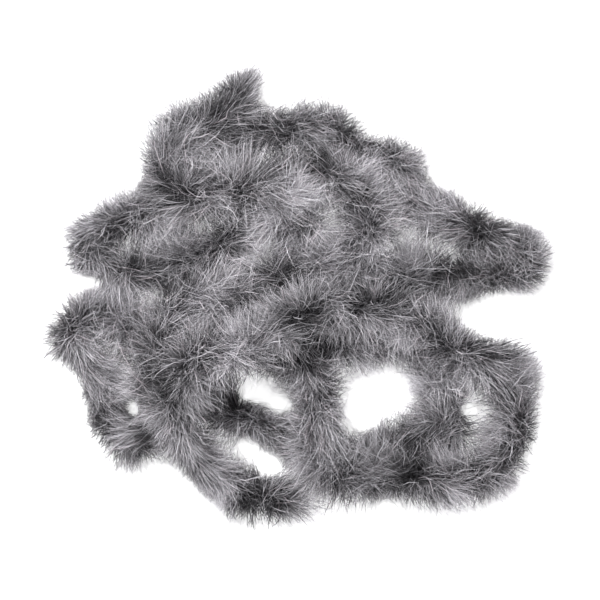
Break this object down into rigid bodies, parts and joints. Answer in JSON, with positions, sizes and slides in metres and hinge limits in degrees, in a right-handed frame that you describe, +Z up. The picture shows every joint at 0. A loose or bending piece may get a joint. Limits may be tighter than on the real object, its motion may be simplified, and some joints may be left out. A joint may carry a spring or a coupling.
{
  "type": "feather boa",
  "caption": "Fluffy grey down boa: one soft rope of bound plumes heaped in loose overlapping loops, with both ends free to lift.",
  "frame": {"origin": "the middle of the heap's footprint, on the surface it lies on", "axes": "+Z up from the surface, +X along the heap's longest side, +Y towards the boa's end at the back"},
  "size_m": [0.3662, 0.3212, 0.0752],
  "materials": {
    "down": "matte soft down plumes, dyed grey",
    "string": "matte twisted cotton string",
    "thread": "fine sewing thread, slight sheen"
  },
  "bodies": {
    "heap": {"plume_bunch_03": "down", "plume_bunch_04": "down", "plume_bunch_05": "down", "plume_bunch_06": "down", "plume_bunch_07": "down", "plume_bunch_08": "down", "plume_bunch_09": "down", "plume_bunch_10": "down", "plume_bunch_11": "down", "plume_bunch_12": "down", "plume_bunch_13": "down", "plume_bunch_14": "down", "plume_bunch_15": "down", "plume_bunch_16": "down", "plume_bunch_17": "down", "plume_bunch_18": "down", "plume_bunch_19": "down", "plume_bunch_20": "down", "plume_bunch_21": "down", "plume_bunch_22": "down", "plume_bunch_23": "down", "plume_bunch_24": "down", "plume_bunch_25": "down", "plume_bunch_26": "down", "plume_bunch_27": "down", "plume_bunch_28": "down", "plume_bunch_29": "down", "plume_bunch_30": "down", "plume_bunch_31": "down", "plume_bunch_32": "down", "plume_bunch_33": "down", "plume_bunch_34": "down", "plume_bunch_35": "down", "plume_bunch_36": "down", "plume_bunch_37": "down", "plume_bunch_38": "down", "plume_bunch_39": "down", "plume_bunch_40": "down", "plume_bunch_41": "down", "plume_bunch_42": "down", "plume_bunch_43": "down", "plume_bunch_44": "down", "core_string_middle": "string", "binding_thread_middle": "thread"},
    "back_tail": {"plume_bunch_02": "down", "core_string_back_tail": "string", "binding_thread_back_tail": "thread"},
    "back_tip": {"plume_bunch_01": "down", "core_string_back_tip": "string", "binding_thread_back_tip": "thread", "end_knot_back": "string"},
    "front_tail": {"plume_bunch_45": "down", "core_string_front_tail": "string", "binding_thread_front_tail": "thread"},
    "front_tip": {"plume_bunch_46": "down", "core_string_front_tip": "string", "binding_thread_front_tip": "thread", "end_knot_front": "string"}
  },
  "joints": [
    {"name": "back_tail_lift", "type": "hinge", "parent": "heap", "child": "back_tail", "pos_m": [-0.09222, 0.10791, 0.03242], "axis": [0.8534, -0.5213, 0], "range_deg": [0, 40]},
    {"name": "back_tip_lift", "type": "hinge", "parent": "back_tail", "child": "back_tip", "pos_m": [-0.0654, 0.13007, 0.02665], "axis": [0.5031, -0.8642, 0], "range_deg": [0, 40]},
    {"name": "front_tail_lift", "type": "hinge", "parent": "heap", "child": "front_tail", "pos_m": [-0.06969, -0.12677, 0.03723], "axis": [-0.7163, -0.6978, 0], "range_deg": [0, 40]},
    {"name": "front_tip_lift", "type": "hinge", "parent": "front_tail", "child": "front_tip", "pos_m": [-0.04436, -0.14406, 0.01871], "axis": [-0.3836, -0.9235, 0], "range_deg": [0, 40]}
  ]
}
